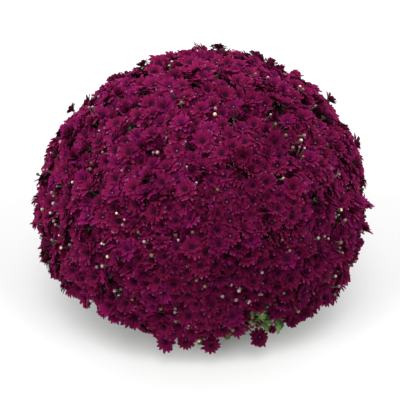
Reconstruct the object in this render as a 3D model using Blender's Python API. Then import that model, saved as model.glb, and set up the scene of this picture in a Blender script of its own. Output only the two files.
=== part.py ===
"""Pot chrysanthemum: a nursery pot, its compost, the woody branches, the leaf canopy and the flower sprays.

The plant is a ball of blooms that hides its pot. Thirteen branches leave one root collar. Each of them carries one
spray, a domed pad of flower stalks with blooms and buds standing out of it. The sprays meet along furrows, as the
lobes of a real cushion plant do, and close round the leaf canopy like the panels of a football.

Metres, +Z up. The origin is the centre of the pot's base, on the surface that the pot stands on.
"""

import math
import random

import bmesh
import bpy
import numpy as np
from mathutils import Matrix, Vector
from mathutils.bvhtree import BVHTree

# Pot: a plain injection-moulded container of 200 mm, with drainage holes in a flat base.
POT_SIDES = 32
POT_HEIGHT = 0.150
POT_BASE_RADIUS = 0.073
POT_RIM_RADIUS = 0.100
POT_RIM_HEIGHT = 0.026
POT_RIM_STEP = 0.004
POT_WALL = 0.0022
POT_BASE_BEVEL = 0.003
DRAIN_HOLES = 8
DRAIN_RADIUS = 0.006
DRAIN_CIRCLE = 0.050

# Compost: it fills the pot to just under the rim, and the root collar stands in a hole in it.
COMPOST_TOP = 0.132
COMPOST_DOME = 0.004
SEAT_GAP = 0.0003
COLLAR_RADIUS = 0.013
COLLAR_DEPTH = 0.030
COLLAR_TOP = 0.146
BRANCH_SIDES = 4

# The ball: half its width and half its height to the faces of the blooms, and the height of its middle.
BALL_HALF_WIDTH = 0.257
BALL_HALF_HEIGHT = 0.240
BALL_MIDDLE = Vector((0.0, 0.0, 0.205))
STALK_LAYER = 0.027
LOWEST_BLOOM = 0.030
# Where the ball swells or sinks: angle from the vertical, azimuth and width in degrees, and share of its radius.
SWELLS = (
    (37, 147, 34, -0.062),
    (41, 28, 22, -0.012),
    (112, -10, 28, 0.010),
    (98, 75, 28, 0.020),
    (66, 100, 24, -0.018),
    (92, -125, 24, 0.014),
    (70, -60, 24, 0.012),
)
# The ragged hem: azimuth, and how far from the vertical the blooms reach there, in degrees.
HEM = (
    (-180, 114),
    (-165, 112),
    (-137, 112),
    (-128, 115),
    (-117, 117),
    (-105, 125),
    (-90, 128),
    (-80, 120),
    (-69, 118),
    (-60, 121),
    (-48, 120),
    (-36, 117),
    (-20, 116),
    (0, 114),
    (20, 118),
    (40, 121),
    (60, 115),
    (85, 123),
    (110, 118),
    (135, 113),
    (160, 119),
    (180, 114),
)
HEM_RISE = 3.0

# Sprays: the crown's, a ring of five round it and a ring of seven below, each at its angle from the vertical.
SPRAY_RINGS = (("crown", 1, 0.0, 0.0), ("upper", 5, 57.0, 20.0), ("lower", 7, 107.0, 0.0))
SPRAY_STRAY = 5.0
SPRAY_BACK = 0.150
SPRAY_BOTTOM = 0.066
FURROW = 0.001

# Blooms, drawn at about twice their natural size so that they can cover the ball with few faces.
BLOOM_COUNT = 216
BLOOM_SPACING = 0.052
BLOOM_RADIUS = (0.0275, 0.0315)
BLOOM_PETALS = (7, 7, 8, 8)
BLOOM_STAND = (0.014, 0.021)
PETAL_NOTCH = 0.76
PETAL_CUP = 0.0065
NOTCH_CUP = -0.0020
NECK_DEPTH = 0.0055
STALK_RADIUS = 0.0030
STALK_SIDES = 3
STALK_SUNK = 0.008
PAD_CLEARANCE = 0.003
UPTURN = (0.10, 0.42)

# Buds stand between the blooms.
BUDS_PER_SPRAY = 3
BUD_RADIUS = 0.0040
BUD_SIDES = 5
BUD_STAND = 0.021

# Leaf canopy and its leaves, which hang out below the sprays.
CANOPY_BOTTOM = 0.062
CAVITY_SIDES = 18
LEAF_ROWS = ((13, 0.056, 0.006, 20.0, 0.0), (11, 0.042, 0.009, 30.0, 0.5), (9, 0.050, 0.006, 9.0, 0.25))
LEAF_HEIGHT = 0.0638
LEAF_REACH = 0.170
LEAF_CLEARANCE = 0.092
LEAF_THICKNESS = 0.0016

SEED = 20


def material(name, rgb, roughness):
    made = bpy.data.materials.new(name)
    made.use_nodes = True
    shader = made.node_tree.nodes["Principled BSDF"]
    shader.inputs["Base Color"].default_value = (*rgb, 1.0)
    shader.inputs["Roughness"].default_value = roughness
    made.diffuse_color = (*rgb, 1.0)
    return made


def add_object(name, bm, finish, smooth_angle=None):
    """The bmesh as a named object with its material, and its faces pointing out."""
    bmesh.ops.recalc_face_normals(bm, faces=bm.faces)
    mesh = bpy.data.meshes.new(name)
    bm.to_mesh(mesh)
    bm.free()
    mesh.materials.append(finish)
    if smooth_angle is not None:
        mesh.shade_smooth()
        mesh.set_sharp_from_angle(angle=math.radians(smooth_angle))
    made = bpy.data.objects.new(name, mesh)
    bpy.context.scene.collection.objects.link(made)
    return made


def lathe(profile, sides):
    """A closed solid turned from (radius, height) points, which run from the axis back to the axis."""
    bm = bmesh.new()
    points = [bm.verts.new((radius, 0.0, height)) for radius, height in profile]
    edges = [bm.edges.new(pair) for pair in zip(points, points[1:])]
    bmesh.ops.spin(
        bm, geom=points + edges, axis=(0, 0, 1), cent=(0, 0, 0), angle=math.tau, steps=sides, use_merge=True
    )
    bmesh.ops.remove_doubles(bm, verts=bm.verts, dist=1e-6)
    return bm


def apply_boolean(target, operation, other=None, collection=None):
    """Joins or cuts target, keeps the result as its mesh, and removes what it was joined with or cut by."""
    cut = target.modifiers.new("Boolean", "BOOLEAN")
    cut.operation = operation
    cut.solver = "MANIFOLD" if collection else "EXACT"
    if collection:
        cut.operand_type = "COLLECTION"
        cut.collection = collection
    else:
        cut.object = other
    graph = bpy.context.evaluated_depsgraph_get()
    made = bpy.data.meshes.new_from_object(target.evaluated_get(graph))
    target.modifiers.clear()
    target.data = made
    for used in list(collection.objects) if collection else [other]:
        bpy.data.objects.remove(used)
    if collection:
        bpy.data.collections.remove(collection)


def join_to(target, solids):
    """Fuses loose solids, each a bmesh, to target in one union."""
    group = bpy.data.collections.new(target.name + "_repeats")
    bpy.context.scene.collection.children.link(group)
    for number, bm in enumerate(solids):
        bmesh.ops.recalc_face_normals(bm, faces=bm.faces)
        mesh = bpy.data.meshes.new(f"{target.name}_{number}")
        bm.to_mesh(mesh)
        bm.free()
        group.objects.link(bpy.data.objects.new(mesh.name, mesh))
    apply_boolean(target, "UNION", collection=group)


def loft(rings):
    """A closed tube through rings of equal count, with an end cap on each end."""
    bm = bmesh.new()
    loops = [[bm.verts.new(point) for point in ring] for ring in rings]
    for low, high in zip(loops, loops[1:]):
        for i in range(len(low)):
            j = (i + 1) % len(low)
            bm.faces.new((low[i], low[j], high[j], high[i]))
    bm.faces.new(loops[0][::-1])
    bm.faces.new(loops[-1])
    return bm


def ring(centre, axis, radius, sides, turn=0.0):
    """Points round centre, square to axis."""
    frame = axis.to_track_quat("Z", "X").to_matrix()
    angles = (turn + math.tau * k / sides for k in range(sides))
    return [centre + frame @ Vector((radius * math.cos(a), radius * math.sin(a), 0.0)) for a in angles]


def direction(angle, azimuth):
    """The unit vector at angle from the vertical and azimuth round it, in degrees."""
    tilt, turn = math.radians(angle), math.radians(azimuth)
    return Vector((math.sin(tilt) * math.cos(turn), math.sin(tilt) * math.sin(turn), math.cos(tilt)))


def ball_point(way, inset=0.0):
    """The point of the ball's surface that lies in the direction way from its middle, inset from the bloom faces."""
    scale = 1.0
    for angle, azimuth, width, share in SWELLS:
        apart = way.angle(direction(angle, azimuth))
        scale += share * math.exp(-((apart / math.radians(width)) ** 2))
    wide = (BALL_HALF_WIDTH - inset) * scale
    high = (BALL_HALF_HEIGHT - inset) * scale
    reach = 1 / math.sqrt((way.x**2 + way.y**2) / wide**2 + way.z**2 / high**2)
    return BALL_MIDDLE + way * reach


def ball_normal(way):
    """The outward direction of the ball's surface there, without its swells."""
    return Vector(
        (way.x / BALL_HALF_WIDTH**2, way.y / BALL_HALF_WIDTH**2, way.z / BALL_HALF_HEIGHT**2)
    ).normalized()


def above_hem(way):
    """The direction, raised to the blooms' hem where it lies below it."""
    azimuths, angles = zip(*HEM)
    hem = np.interp(math.degrees(math.atan2(way.y, way.x)), azimuths, angles) - HEM_RISE
    lowest = math.cos(math.radians(hem))
    if way.z >= lowest:
        return way
    flat = math.sqrt(1 - lowest**2) / math.hypot(way.x, way.y)
    return Vector((way.x * flat, way.y * flat, lowest))


def spray_axes(rng):
    """{name: direction} of the branches, from the crown down."""
    axes = {}
    for label, count, angle, start in SPRAY_RINGS:
        for k in range(count):
            stray = SPRAY_STRAY if count > 1 else 0.0
            way = direction(
                angle + rng.uniform(-stray, stray), start + 360.0 * k / count + rng.uniform(-stray, stray)
            )
            axes[f"spray_{label}" + (f"_{k + 1}" if count > 1 else "")] = way
    return axes


def cell_planes(name, axes):
    """The sides of a spray's cell: (point, outward normal) of each plane midway to another branch."""
    return [
        (BALL_MIDDLE - side * FURROW / 2, side)
        for side in ((other - axes[name]).normalized() for key, other in axes.items() if key != name)
    ]


def cut_flat(bm, point, normal):
    """Removes what lies beyond the plane, and closes the cut with one face."""
    geometry = bm.verts[:] + bm.edges[:] + bm.faces[:]
    cut = bmesh.ops.bisect_plane(bm, geom=geometry, plane_co=point, plane_no=normal, clear_outer=True)
    edges = [item for item in cut["geom_cut"] if isinstance(item, bmesh.types.BMEdge)]
    if edges:
        bmesh.ops.edgeloop_fill(bm, edges=edges)


def place_stalks(axes, rng):
    """Even but irregular places for the blooms: (direction, spray name) each, well inside their spray's cell."""
    names = list(axes)
    lowest = math.cos(math.radians(sum(angle for _, angle in HEM) / len(HEM)))
    golden = math.pi * (3 - math.sqrt(5))
    ways = []
    for k in range(BLOOM_COUNT):
        height = 1 - (k + 0.5) / BLOOM_COUNT * (1 - lowest)
        turn = golden * k + rng.uniform(-0.12, 0.12)
        flat = math.sqrt(1 - height**2)
        ways.append(Vector((flat * math.cos(turn), flat * math.sin(turn), height)))
    planes = {name: cell_planes(name, axes) for name in names}
    margin = STALK_RADIUS * 2.2
    floor = SPRAY_BOTTOM + STALK_RADIUS * 1.6
    for _ in range(40):
        points = np.array([ball_point(way, STALK_LAYER) for way in ways])
        apart = points[:, None] - points[None]
        far = np.linalg.norm(apart, axis=2) + np.eye(len(points))
        push = np.clip(BLOOM_SPACING - far, 0, None) * 0.25 / far
        points = points + (apart * push[:, :, None]).sum(axis=1)
        homes = [max(names, key=lambda name, way=way: axes[name].dot(way)) for way in ways]
        for k, home in enumerate(homes):
            point = Vector(points[k])
            for origin, side in planes[home]:
                beyond = (point - origin).dot(side) + margin
                if beyond > 0:
                    point -= side * beyond
            point.z = max(point.z, floor)
            ways[k] = above_hem((point - BALL_MIDDLE).normalized())
    return list(zip(ways, homes))


def neighbour_planes(seat, home, stands):
    """The planes midway to each bloom or bud of another spray nearby, which neither of the two crosses."""
    planes = []
    for other, other_home in stands:
        if other_home != home and (other - seat).length < 3 * BLOOM_RADIUS[1]:
            side = (other - seat).normalized()
            planes.append(((seat + other) / 2 - side * FURROW / 2, side))
    return planes


def keep_clear(point, centre, planes):
    """Draws a petal's point back to its bloom until it clears the next sprays, the leaves and the ground."""
    share = 1.0
    for origin, side in planes:
        run = (point - centre).dot(side)
        room = (origin - centre).dot(side)
        if run > room:
            share = min(share, room / run)
    point = centre.lerp(point, share)
    out = point - BALL_MIDDLE
    least = (ball_point(out.normalized(), STALK_LAYER - PAD_CLEARANCE) - BALL_MIDDLE).length
    if out.length < least:
        point = BALL_MIDDLE + out * (least / out.length)
    flat = math.hypot(point.x, point.y)
    if point.z < LEAF_CLEARANCE and flat < LEAF_REACH + 0.004:
        stretch = (LEAF_REACH + 0.004) / flat
        point = Vector((point.x * stretch, point.y * stretch, point.z))
    return Vector((point.x, point.y, max(point.z, LOWEST_BLOOM)))


def bloom_solid(way, planes, rng):
    """One bloom: a shallow cup of pointed petals with a sunken eye, on a three-sided stalk."""
    seat, normal = ball_point(way, STALK_LAYER), ball_normal(way)
    low = (1 - way.z) / 2
    facing = (normal + Vector((0, 0, 1)) * (UPTURN[0] + (UPTURN[1] - UPTURN[0]) * low)).normalized()
    centre = seat + normal * rng.uniform(*BLOOM_STAND)
    radius, petals = rng.uniform(*BLOOM_RADIUS), rng.choice(BLOOM_PETALS)
    turn = rng.uniform(0, math.tau)
    count = 2 * petals
    bm = bmesh.new()
    outline = []
    for k, point in enumerate(ring(centre, facing, radius, count, turn)):
        tip = k % 2 == 0
        spread = rng.uniform(0.9, 1.05) if tip else PETAL_NOTCH
        lift = rng.uniform(0.6, 1.3) * PETAL_CUP if tip else NOTCH_CUP
        point = centre + (point - centre) * spread + facing * lift
        outline.append(bm.verts.new(keep_clear(point, centre, planes)))
    eye = bm.verts.new(centre - facing * 0.0008)
    neck = [
        bm.verts.new(p) for p in ring(centre - facing * NECK_DEPTH, facing, STALK_RADIUS, STALK_SIDES, turn)
    ]
    root = [bm.verts.new(p) for p in ring(seat - normal * STALK_SUNK, facing, STALK_RADIUS, STALK_SIDES, turn)]
    for k in range(count):
        after = (k + 1) % count
        side, next_side = k * STALK_SIDES // count, (k + 1) * STALK_SIDES // count % STALK_SIDES
        bm.faces.new((eye, outline[k], outline[after]))
        bm.faces.new((outline[after], outline[k], neck[side]))
        if side != next_side:
            bm.faces.new((outline[after], neck[side], neck[next_side]))
    for k in range(STALK_SIDES):
        after = (k + 1) % STALK_SIDES
        bm.faces.new((neck[after], neck[k], root[k], root[after]))
    bm.faces.new(root)
    return bm


def bud_solid(way, rng):
    """One unopened bud: a pointed globe that tapers to its stalk."""
    seat, normal = ball_point(way, STALK_LAYER), ball_normal(way)
    middle = seat + normal * BUD_STAND
    bm = bmesh.new()
    belly = [bm.verts.new(p) for p in ring(middle, normal, BUD_RADIUS, BUD_SIDES, rng.uniform(0, 1))]
    top = bm.verts.new(middle + normal * BUD_RADIUS)
    foot = bm.verts.new(seat - normal * STALK_SUNK)
    for k in range(BUD_SIDES):
        after = (k + 1) % BUD_SIDES
        bm.faces.new((belly[k], belly[after], top))
        bm.faces.new((belly[after], belly[k], foot))
    return bm


def spray_pad(name, axes, finish):
    """The pad that a spray's stalks stand on: the part of the ball in its cell, flat where it meets the canopy."""
    bm = bmesh.new()
    bmesh.ops.create_icosphere(bm, subdivisions=3, radius=1.0)
    for vertex in bm.verts:
        vertex.co = ball_point(vertex.co.normalized(), STALK_LAYER)
    for point, side in cell_planes(name, axes):
        cut_flat(bm, point, side)
    cut_flat(bm, BALL_MIDDLE + axes[name] * SPRAY_BACK, -axes[name])
    cut_flat(bm, Vector((0, 0, SPRAY_BOTTOM)), Vector((0, 0, -1)))
    return add_object(name, bm, finish)


def bud_ways(home, axes, stalks, rng):
    """Places for a spray's buds, each in the widest gap that a few draws find."""
    planes = cell_planes(home, axes)
    near = [way for way, _ in stalks]
    found = []
    while len(found) < BUDS_PER_SPRAY:
        best, best_gap = None, -1.0
        for _ in range(60):
            way = (axes[home] + Vector([rng.gauss(0, 0.35) for _ in range(3)])).normalized()
            point = ball_point(way, STALK_LAYER)
            edge = min(-(point - origin).dot(side) for origin, side in planes)
            if edge < 2 * BUD_RADIUS or above_hem(way) is not way or point.z < SPRAY_BOTTOM + 3 * BUD_RADIUS:
                continue
            gap = min((way - other).length for other in near + found)
            if gap > best_gap:
                best, best_gap = way, gap
        found.append(best)
    return found


def flower_sprays(axes, finish):
    """Each spray's pad with its blooms and buds fused to it."""
    rng = random.Random(SEED)
    stalks = place_stalks(axes, rng)
    buds = [(way, name) for name in axes for way in bud_ways(name, axes, stalks, rng)]
    stands = [(ball_point(way, STALK_LAYER), home) for way, home in stalks + buds]
    for name in axes:
        solids = [bud_solid(way, rng) for way, home in buds if home == name]
        for way, home in stalks:
            if home == name:
                planes = neighbour_planes(ball_point(way, STALK_LAYER), home, stands)
                solids.append(bloom_solid(way, planes, rng))
        join_to(spray_pad(name, axes, finish), solids)


def leaf_solid(base, heading, length, droop):
    """One lobed leaf with two side lobes each way, folded a little along its rib. Its root is sunk in the canopy."""
    across = Vector((0, 0, 1)).cross(heading).normalized()
    up = heading.cross(across).normalized()
    half = length * 0.34
    # Along the leaf, and out from the rib, as shares of its length and half width: root, lobes, notches.
    side_points = ((0.20, 0.30), (0.42, 0.95), (0.52, 0.42), (0.78, 0.82), (0.84, 0.34))
    rib_points = (0.0, 0.35, 0.70, 1.0)

    def place(along, out):
        sag = -droop * along**2 * length
        return base + heading * (along * length) + across * out + up * (sag - abs(out) * 0.2)

    bm = bmesh.new()
    edge = {}
    for sign in (-1, 1):
        edge[sign] = [bm.verts.new(place(along, sign * out * half)) for along, out in side_points]
    root, tip = (bm.verts.new(place(along, 0.0)) for along in (rib_points[0], rib_points[-1]))
    for face_sign in (-1, 1):
        rib = [
            bm.verts.new(place(along, 0.0) + up * face_sign * LEAF_THICKNESS / 2) for along in rib_points[1:-1]
        ]
        for sign in (-1, 1):
            side = edge[sign]
            bm.faces.new((root, side[0], rib[0]))
            bm.faces.new((side[0], side[1], rib[0]))
            bm.faces.new((side[1], side[2], rib[0]))
            bm.faces.new((side[2], rib[1], rib[0]))
            bm.faces.new((side[2], side[3], rib[1]))
            bm.faces.new((side[3], side[4], rib[1]))
            bm.faces.new((side[4], tip, rib[1]))
    return bm


def canopy_edge(azimuth, height, axes):
    """How far the canopy reaches from the pot's axis at that azimuth and height."""
    out = direction(90.0, azimuth)
    rise = height - BALL_MIDDLE.z
    return min((SPRAY_BACK - rise * way.z) / way.dot(out) for way in axes.values() if way.dot(out) > 0.1)


def leaf_canopy(axes, finish):
    """The leafy mass under the sprays, hollow where the branches run and the pot stands, with its hanging leaves."""
    rng = random.Random(SEED + 1)
    bm = bmesh.new()
    bmesh.ops.create_cube(bm, size=4 * BALL_HALF_WIDTH)
    bmesh.ops.translate(bm, verts=bm.verts, vec=BALL_MIDDLE)
    for way in axes.values():
        cut_flat(bm, BALL_MIDDLE + way * (SPRAY_BACK - SEAT_GAP), way)
    cut_flat(bm, Vector((0, 0, CANOPY_BOTTOM)), Vector((0, 0, -1)))
    canopy = add_object("leaf_canopy", bm, finish)
    cavity = (
        (0.0, CANOPY_BOTTOM - 0.02),
        (0.080, CANOPY_BOTTOM - 0.02),
        (0.088, 0.060),
        (0.107, POT_HEIGHT - POT_RIM_HEIGHT),
        (0.120, 0.180),
        (0.108, 0.250),
        (0.068, 0.295),
        (0.0, 0.312),
    )
    hollow = add_object("canopy_hollow", lathe(cavity, CAVITY_SIDES), finish)
    apply_boolean(canopy, "DIFFERENCE", other=hollow)
    leaves = []
    for count, length, sunk, pitch, start in LEAF_ROWS:
        for k in range(count):
            azimuth = 360.0 * (k + start) / count + rng.uniform(-6, 6)
            heading = direction(90.0 + pitch + rng.uniform(-5, 5), azimuth)
            radius = canopy_edge(azimuth, LEAF_HEIGHT, axes) - sunk
            base = direction(90.0, azimuth) * radius + Vector((0, 0, LEAF_HEIGHT))
            reach = min(length * rng.uniform(0.85, 1.1), (LEAF_REACH - radius) / math.cos(math.radians(pitch)))
            leaves.append(leaf_solid(base, heading, reach, 0.1))
    join_to(canopy, leaves)
    return canopy


def woody_branches(axes, canopy, finish):
    """The root collar and the branches that fan out of it, each ending just short of the canopy behind its spray."""
    rng = random.Random(SEED + 2)
    collar = add_object(
        "woody_branches",
        lathe(
            (
                (0.0, COMPOST_TOP - COLLAR_DEPTH),
                (COLLAR_RADIUS - SEAT_GAP, COMPOST_TOP - COLLAR_DEPTH),
                (COLLAR_RADIUS - SEAT_GAP, COMPOST_TOP + 0.002),
                (COLLAR_RADIUS * 0.8, COLLAR_TOP),
                (0.0, COLLAR_TOP + 0.003),
            ),
            10,
        ),
        finish,
    )
    shape = bmesh.new()
    shape.from_mesh(canopy.data)
    wall = BVHTree.FromBMesh(shape)
    shape.free()
    start = Vector((0, 0, COLLAR_TOP - 0.006))
    branches = []
    for way in axes.values():
        hit, _, _, _ = wall.ray_cast(BALL_MIDDLE, way)
        end = hit - way * 0.0009
        bend = start.lerp(end, 0.5) + Vector((0, 0, 0.030)) + direction(90, rng.uniform(0, 360)) * 0.006
        stations = (0.0, 0.35, 0.7, 1.0)
        radii = (0.0050, 0.0042, 0.0034, 0.0008)
        points = [start.lerp(bend, t).lerp(bend.lerp(end, t), t) for t in stations]
        ways = [bend - start, points[2] - points[0], points[3] - points[1], end - points[2]]
        branches.append(
            loft([ring(p, w.normalized(), r, BRANCH_SIDES) for p, w, r in zip(points, ways, radii)])
        )
    join_to(collar, branches)


def nursery_pot(finish):
    """A tapered pot with a stepped rim and a flat base, with round drainage holes."""
    step = POT_HEIGHT - POT_RIM_HEIGHT
    body_top = POT_RIM_RADIUS - POT_RIM_STEP - 0.002
    outside = [
        (0.0, 0.0),
        (POT_BASE_RADIUS - POT_BASE_BEVEL, 0.0),
        (POT_BASE_RADIUS, POT_BASE_BEVEL),
        (body_top, step - 0.001),
        (body_top + POT_RIM_STEP, step + 0.001),
        (POT_RIM_RADIUS, POT_HEIGHT - 0.001),
        (POT_RIM_RADIUS - 0.001, POT_HEIGHT),
    ]
    inside = [
        (POT_RIM_RADIUS - POT_WALL, POT_HEIGHT),
        (body_top + POT_RIM_STEP - POT_WALL, step + 0.001 + POT_WALL),
        (body_top - POT_WALL, step - 0.001 + POT_WALL),
        (POT_BASE_RADIUS - POT_WALL, POT_BASE_BEVEL + POT_WALL),
        (0.0, POT_BASE_BEVEL + POT_WALL),
    ]
    pot = add_object("pot", lathe(outside + inside, POT_SIDES), finish, smooth_angle=30)
    cutters = bmesh.new()
    for k in range(DRAIN_HOLES):
        place = direction(90, 360.0 * (k + 0.5) / DRAIN_HOLES) * DRAIN_CIRCLE
        bmesh.ops.create_cone(
            cutters,
            cap_ends=True,
            segments=8,
            radius1=DRAIN_RADIUS,
            radius2=DRAIN_RADIUS,
            depth=0.04,
            matrix=Matrix.Translation(place),
        )
    apply_boolean(pot, "DIFFERENCE", other=add_object("drain_cutters", cutters, finish))


def compost(finish):
    """The compost's body, a seat gap inside the pot, domed a little, with a plain hole for the root collar."""
    step = POT_HEIGHT - POT_RIM_HEIGHT
    wall = POT_WALL + SEAT_GAP
    floor = POT_BASE_BEVEL + POT_WALL + SEAT_GAP
    body_top = POT_RIM_RADIUS - POT_RIM_STEP - 0.002
    hole_bottom = COMPOST_TOP - COLLAR_DEPTH - SEAT_GAP
    profile = (
        (0.0, floor),
        (POT_BASE_RADIUS - wall, floor),
        (body_top - wall, step - 0.001 + POT_WALL),
        (body_top - wall, COMPOST_TOP - COMPOST_DOME),
        (body_top * 0.6, COMPOST_TOP - COMPOST_DOME * 0.3),
        (COLLAR_RADIUS, COMPOST_TOP),
        (COLLAR_RADIUS, hole_bottom),
        (0.0, hole_bottom),
    )
    add_object("compost", lathe(profile, POT_SIDES), finish, smooth_angle=30)


def main():
    for old in list(bpy.data.objects):
        bpy.data.objects.remove(old)
    petal = material("petal_magenta", (0.105, 0.006, 0.033), 0.55)
    leaf = material("leaf_green", (0.060, 0.130, 0.030), 0.55)
    bark = material("stem_bark", (0.160, 0.120, 0.060), 0.80)
    plastic = material("black_polypropylene", (0.020, 0.020, 0.022), 0.45)
    peat = material("peat_compost", (0.045, 0.028, 0.018), 0.95)
    axes = spray_axes(random.Random(SEED))
    nursery_pot(plastic)
    compost(peat)
    canopy = leaf_canopy(axes, leaf)
    woody_branches(axes, canopy, bark)
    flower_sprays(axes, petal)


main()
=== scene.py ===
"""The pot chrysanthemum's looks: a ball of crimson blooms on its leaves and branches, in a nursery pot."""

import math
import random

import bpy
import numpy as np
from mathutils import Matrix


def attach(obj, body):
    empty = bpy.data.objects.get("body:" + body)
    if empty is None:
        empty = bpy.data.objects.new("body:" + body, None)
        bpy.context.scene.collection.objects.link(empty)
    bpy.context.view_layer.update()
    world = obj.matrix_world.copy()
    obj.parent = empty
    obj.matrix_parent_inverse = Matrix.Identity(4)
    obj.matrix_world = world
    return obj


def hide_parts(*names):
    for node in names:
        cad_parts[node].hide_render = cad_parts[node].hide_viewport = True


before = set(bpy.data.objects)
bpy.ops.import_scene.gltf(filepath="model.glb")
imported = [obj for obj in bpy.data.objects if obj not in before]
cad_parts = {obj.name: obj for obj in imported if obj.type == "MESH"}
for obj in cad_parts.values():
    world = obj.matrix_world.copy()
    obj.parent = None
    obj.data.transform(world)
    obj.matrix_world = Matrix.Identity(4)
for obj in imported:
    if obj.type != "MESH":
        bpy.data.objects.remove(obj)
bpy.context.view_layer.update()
scene = bpy.context.scene

# Camera: a long lens 22 degrees above the horizon, aimed at the middle of the ball.
BALL_MIDDLE = np.array((0.0, 0.0, 0.205))
CAMERA_DISTANCE = 2.0
CAMERA_ELEVATION = 22.0
CAMERA_LENS = 115.0
CAMERA_SENSOR = 36.0
CAMERA_SHIFT = (-0.004, 0.002)

camera_data = bpy.data.cameras.new("camera")
camera_data.lens = CAMERA_LENS
camera_data.sensor_width = CAMERA_SENSOR
camera_data.shift_x, camera_data.shift_y = CAMERA_SHIFT
camera = bpy.data.objects.new("camera", camera_data)
tilt = math.radians(CAMERA_ELEVATION)
camera.location = BALL_MIDDLE + np.array((0.0, -math.cos(tilt), math.sin(tilt))) * CAMERA_DISTANCE
camera.rotation_euler = (math.radians(90.0 - CAMERA_ELEVATION), 0.0, 0.0)
scene.collection.objects.link(camera)
scene.camera = camera

# Studio: a pale floor that runs out of sight and a white sky. The plant has a soft light from above and
# behind, a weaker one from the front left and a wide, faint one from the front. The floor has its own lights
# from the front, so that it burns out to white. The look is plain display colour, with no filmic curve.
FLOOR_HALF = 40.0
SKY_STRENGTH = 0.60
# Name, strength, width, height above the horizon and turn from the front in degrees, and whether it leaves
# the floor out or lights the floor alone.
LAMPS = (
    ("high_back_light", 7.3, 130.0, 68.0, 180.0, "EXCLUDE"),
    ("front_left_light", 1.6, 60.0, 45.0, -60.0, "EXCLUDE"),
    ("front_fill_light", 1.35, 170.0, 20.0, 10.0, "EXCLUDE"),
    ("floor_front_light", 1.90, 24.0, 41.0, 0.0, "INCLUDE"),
    ("floor_left_light", 1.90, 26.0, 27.0, -35.0, "INCLUDE"),
    ("floor_right_light", 1.85, 26.0, 27.0, 35.0, "INCLUDE"),
)


def srgb(code):
    """A hex colour as linear red, green, blue and alpha."""
    parts = [int(code[i : i + 2], 16) / 255 for i in (1, 3, 5)]
    return (*(c / 12.92 if c <= 0.04045 else ((c + 0.055) / 1.055) ** 2.4 for c in parts), 1.0)


def add_node(tree, kind, properties=(), values=(), links=(), stops=(), feeds=None):
    """Adds a node, sets its properties, sockets and ramp stops, and links what feeds it and what it feeds.

    Among the links, a node stands for its first output in use, and a name for the attribute of that name.
    """
    made = tree.nodes.new(kind)
    for name, value in dict(properties).items():
        setattr(made, name, value)
    for socket, value in dict(values).items():
        made.inputs[socket].default_value = value
    for socket, source in dict(links).items():
        if isinstance(source, str):
            source = add_node(tree, "ShaderNodeAttribute", {"attribute_name": source}).outputs["Fac"]
        if isinstance(source, bpy.types.Node):
            source = next(output for output in source.outputs if output.enabled)
        tree.links.new(source, made.inputs[socket])
    for place, (position, colour) in enumerate(stops):
        elements = made.color_ramp.elements
        stop = elements[place] if place < 2 else elements.new(position)
        stop.position = position
        stop.color = srgb(colour)
    if feeds:
        tree.links.new(made.outputs[0], feeds)
    return made


def new_material(name):
    """An empty material, its node tree and the surface socket of its output node."""
    made = bpy.data.materials.new(name)
    made.use_nodes = True
    made.node_tree.nodes.clear()
    output = made.node_tree.nodes.new("ShaderNodeOutputMaterial")
    return made, made.node_tree, output.inputs["Surface"]


def build_mesh(name, verts, faces, materials, face_materials=None, attributes=()):
    """A mesh object from arrays, with its materials and per-vertex attributes."""
    mesh = bpy.data.meshes.new(name)
    mesh.from_pydata(np.asarray(verts).tolist(), [], faces)
    for made in materials:
        mesh.materials.append(made)
    if face_materials is not None:
        mesh.polygons.foreach_set("material_index", np.asarray(face_materials, dtype=np.int32))
    for key, values in dict(attributes).items():
        layer = mesh.attributes.new(key, "FLOAT", "POINT")
        layer.data.foreach_set("value", np.asarray(values, dtype=np.float32))
    mesh.shade_smooth()
    mesh.update()
    made = bpy.data.objects.new(name, mesh)
    scene.collection.objects.link(made)
    return made


floor_white, tree, surface = new_material("white_painted_floor")
add_node(
    tree, "ShaderNodeBsdfPrincipled", values={"Base Color": srgb("#e6e6e6"), "Roughness": 0.9}, feeds=surface
)
corners = [(FLOOR_HALF * x, FLOOR_HALF * y, 0) for x, y in ((-1, -1), (1, -1), (1, 1), (-1, 1))]
floor = build_mesh("floor", corners, [(0, 1, 2, 3)], [floor_white])

world = bpy.data.worlds.new("white_sky")
scene.world = world
world.use_nodes = True
sky = world.node_tree.nodes["Background"]
sky.inputs["Color"].default_value = (1.0, 1.0, 1.0, 1.0)
sky.inputs["Strength"].default_value = SKY_STRENGTH
for name, strength, spread, elevation, turn, floor_share in LAMPS:
    lamp_data = bpy.data.lights.new(name, "SUN")
    lamp_data.energy = strength
    lamp_data.angle = math.radians(spread)
    lamp = bpy.data.objects.new(name, lamp_data)
    lamp.rotation_euler = (math.radians(90.0 - elevation), 0.0, math.radians(turn))
    scene.collection.objects.link(lamp)
    reach = bpy.data.collections.new(name + "_reach")
    reach.objects.link(floor)
    reach.collection_objects[0].light_linking.link_state = floor_share
    lamp.light_linking.receiver_collection = reach
scene.view_settings.view_transform = "Standard"
scene.view_settings.look = "None"

# Plan of the plant: the ball that the bloom faces make, and the thirteen sprays that share it out.
# Each spray grows on one branch, and shows as a few lower domes of blooms with dark furrows between them.
BALL_HALF_WIDTH = 0.257
BALL_HALF_HEIGHT = 0.240
# Where the ball swells or sinks: angle from the vertical, azimuth, width in degrees, share of its radius.
SWELLS = (
    (37, 147, 34, -0.062),
    (43, 155, 10, -0.016),
    (41, 28, 22, -0.012),
    (98, 0, 24, -0.012),
    (96, 180, 20, -0.008),
    (110, -156, 20, 0.022),
    (25, 59, 12, 0.008),
    (116, -28, 16, 0.016),
    (98, 75, 28, 0.020),
    (66, 100, 24, -0.018),
    (92, -125, 24, 0.014),
    (70, -60, 24, 0.012),
)
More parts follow.
